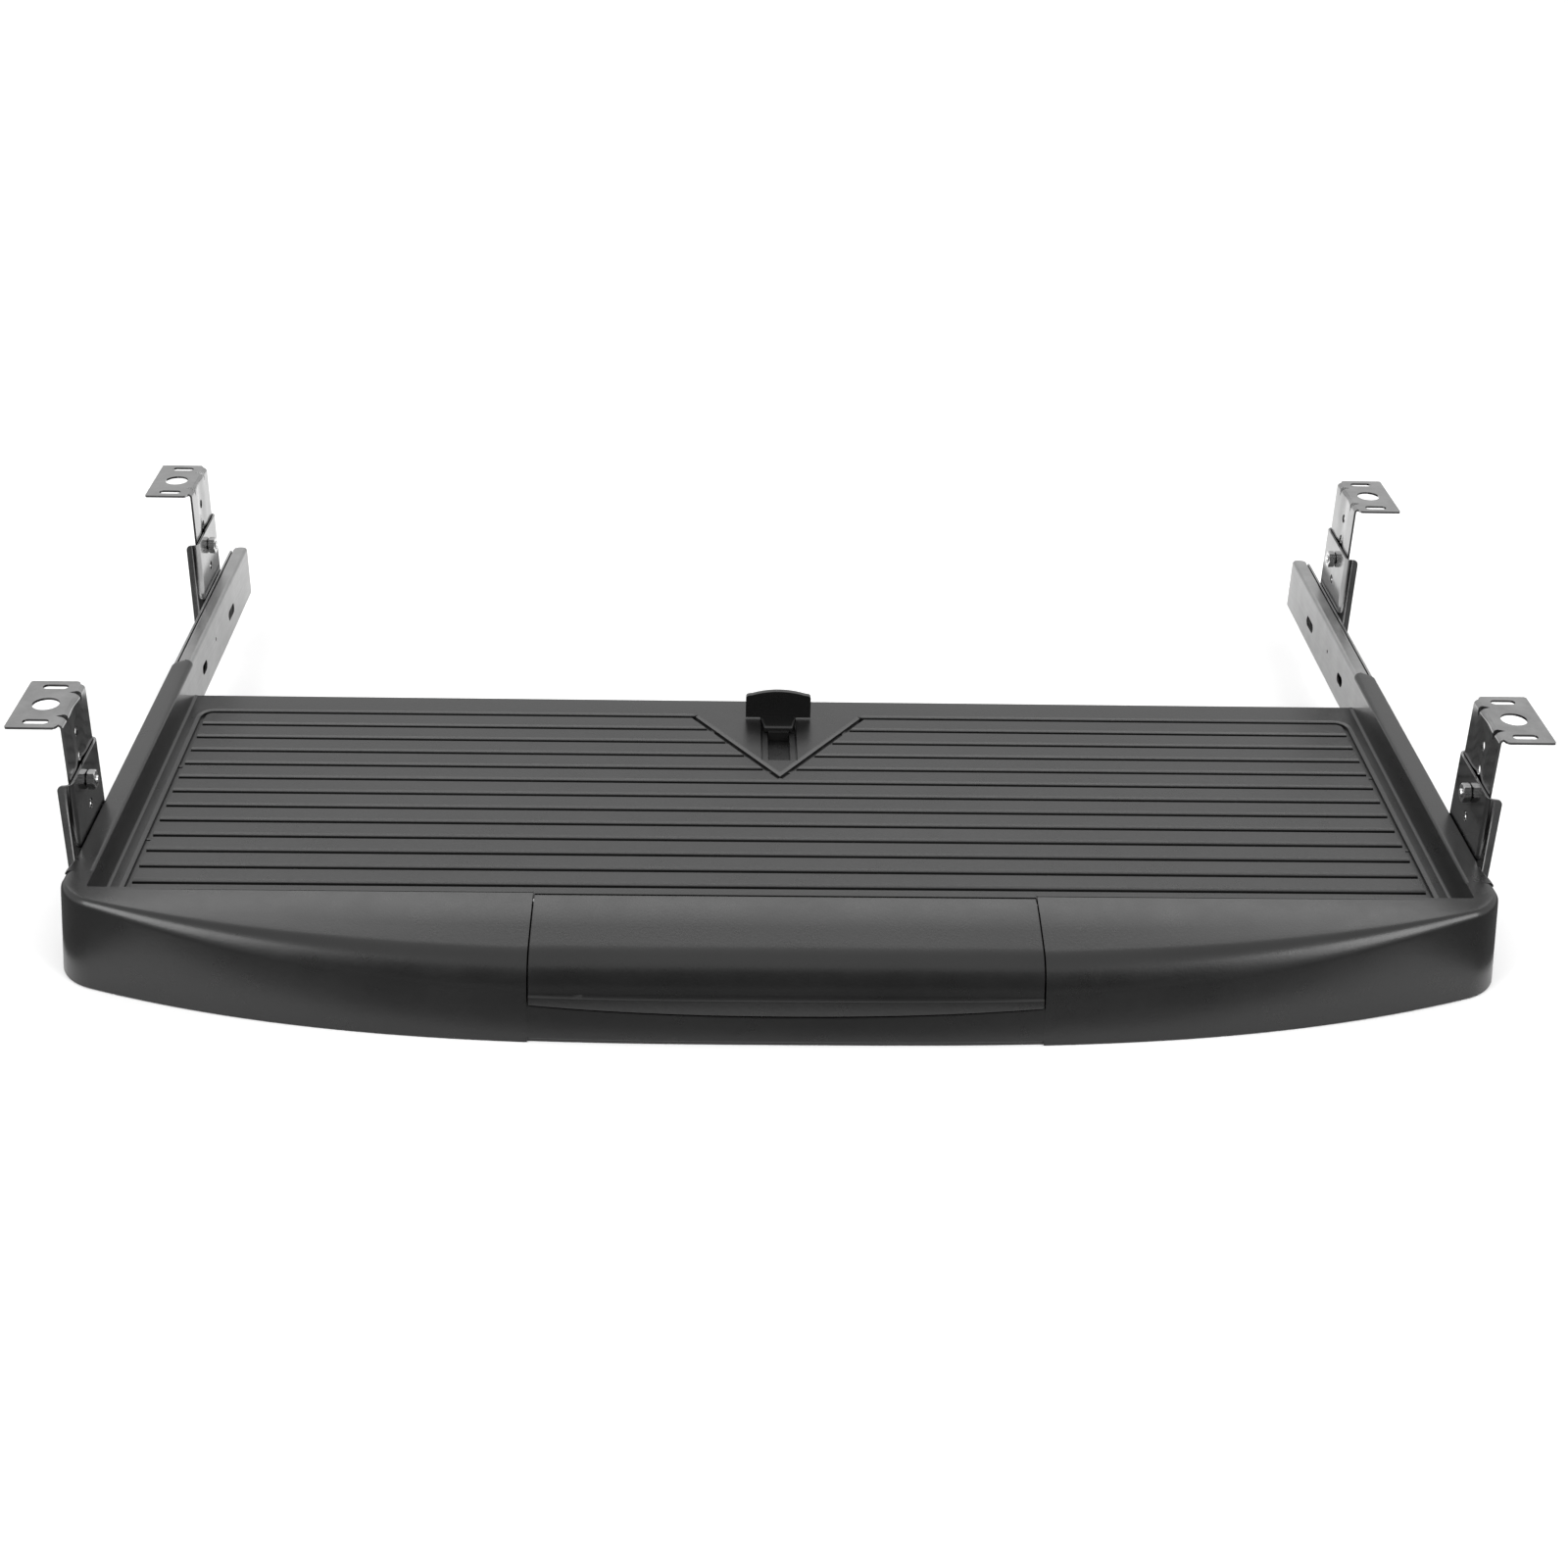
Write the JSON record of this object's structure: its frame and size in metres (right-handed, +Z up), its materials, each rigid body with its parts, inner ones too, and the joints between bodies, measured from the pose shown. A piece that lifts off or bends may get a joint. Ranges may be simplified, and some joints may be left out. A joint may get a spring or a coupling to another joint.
{
  "type": "under desk drawer",
  "caption": "Under desk keyboard drawer: grooved plastic tray with palm rest and pen lid on ball slides, hung from height-adjustable steel brackets.",
  "frame": {"origin": "middle of the footprint, on the surface that the tray stands on", "axes": "+Z up, the user sits on the -Y side and pulls the drawer towards -Y, +X to the right"},
  "size_m": [0.6148, 0.3938, 0.0922],
  "materials": {
    "tray_plastic": "satin black moulding with a fine grain",
    "stop_plastic": "semi-gloss black moulding",
    "bracket_steel": "zinc plated sheet, semi-bright",
    "rail_steel": "zinc plated rolled steel",
    "fastener_steel": "bright zinc",
    "ball_steel": "polished bearing steel",
    "bumper_rubber": "matt black rubber"
  },
  "bodies": {
    "hanger": {"fixed_rail_left": "rail_steel", "closing_bumper_left": "bumper_rubber", "upper_bracket_front_left": "bracket_steel", "lower_bracket_front_left": "bracket_steel", "height_bolt_front_left": "fastener_steel", "height_nut_front_left": "fastener_steel", "rail_rivet_front_a_left": "fastener_steel", "rail_rivet_front_b_left": "fastener_steel", "upper_bracket_rear_left": "bracket_steel", "lower_bracket_rear_left": "bracket_steel", "height_bolt_rear_left": "fastener_steel", "height_nut_rear_left": "fastener_steel", "rail_rivet_rear_a_left": "fastener_steel", "rail_rivet_rear_b_left": "fastener_steel", "fixed_rail_right": "rail_steel", "closing_bumper_right": "bumper_rubber", "upper_bracket_front_right": "bracket_steel", "lower_bracket_front_right": "bracket_steel", "height_bolt_front_right": "fastener_steel", "height_nut_front_right": "fastener_steel", "rail_rivet_front_a_right": "fastener_steel", "rail_rivet_front_b_right": "fastener_steel", "upper_bracket_rear_right": "bracket_steel", "lower_bracket_rear_right": "bracket_steel", "height_bolt_rear_right": "fastener_steel", "height_nut_rear_right": "fastener_steel", "rail_rivet_rear_a_right": "fastener_steel", "rail_rivet_rear_b_right": "fastener_steel"},
    "drawer": {"tray_shell": "tray_plastic", "drawer_rail_left": "rail_steel", "tray_screw_1_left": "fastener_steel", "tray_screw_2_left": "fastener_steel", "tray_screw_3_left": "fastener_steel", "drawer_rail_right": "rail_steel", "tray_screw_1_right": "fastener_steel", "tray_screw_2_right": "fastener_steel", "tray_screw_3_right": "fastener_steel"},
    "pen_lid": {"pen_lid": "tray_plastic", "lid_hinge_pin_left": "fastener_steel", "lid_hinge_pin_right": "fastener_steel"},
    "keyboard_stop": {"keyboard_stop": "stop_plastic"},
    "ball_cage_left": {"ball_cage_upper_left": "ball_steel", "ball_cage_lower_left": "ball_steel"},
    "ball_cage_right": {"ball_cage_upper_right": "ball_steel", "ball_cage_lower_right": "ball_steel"}
  },
  "joints": [
    {"name": "drawer_slide", "type": "slide", "parent": "hanger", "child": "drawer", "axis": [0, -1, 0], "range_m": [0, 0.23]},
    {"name": "ball_cage_left_slide", "type": "slide", "parent": "hanger", "child": "ball_cage_left", "axis": [0, -1, 0], "range_m": [0, 0.115]},
    {"name": "ball_cage_right_slide", "type": "slide", "parent": "hanger", "child": "ball_cage_right", "axis": [0, -1, 0], "range_m": [0, 0.115]},
    {"name": "pen_lid_hinge", "type": "hinge", "parent": "drawer", "child": "pen_lid", "pos_m": [0, -0.1503, 0.0354], "axis": [-1, 0, 0], "range_deg": [0, 95]},
    {"name": "keyboard_stop_slide", "type": "slide", "parent": "drawer", "child": "keyboard_stop", "axis": [0, -1, 0], "range_m": [0, 0.025]}
  ],
  "couplings": [
    {"joint": "ball_cage_left_slide", "follows": "drawer_slide", "ratio": 0.5},
    {"joint": "ball_cage_right_slide", "follows": "drawer_slide", "ratio": 0.5}
  ]
}
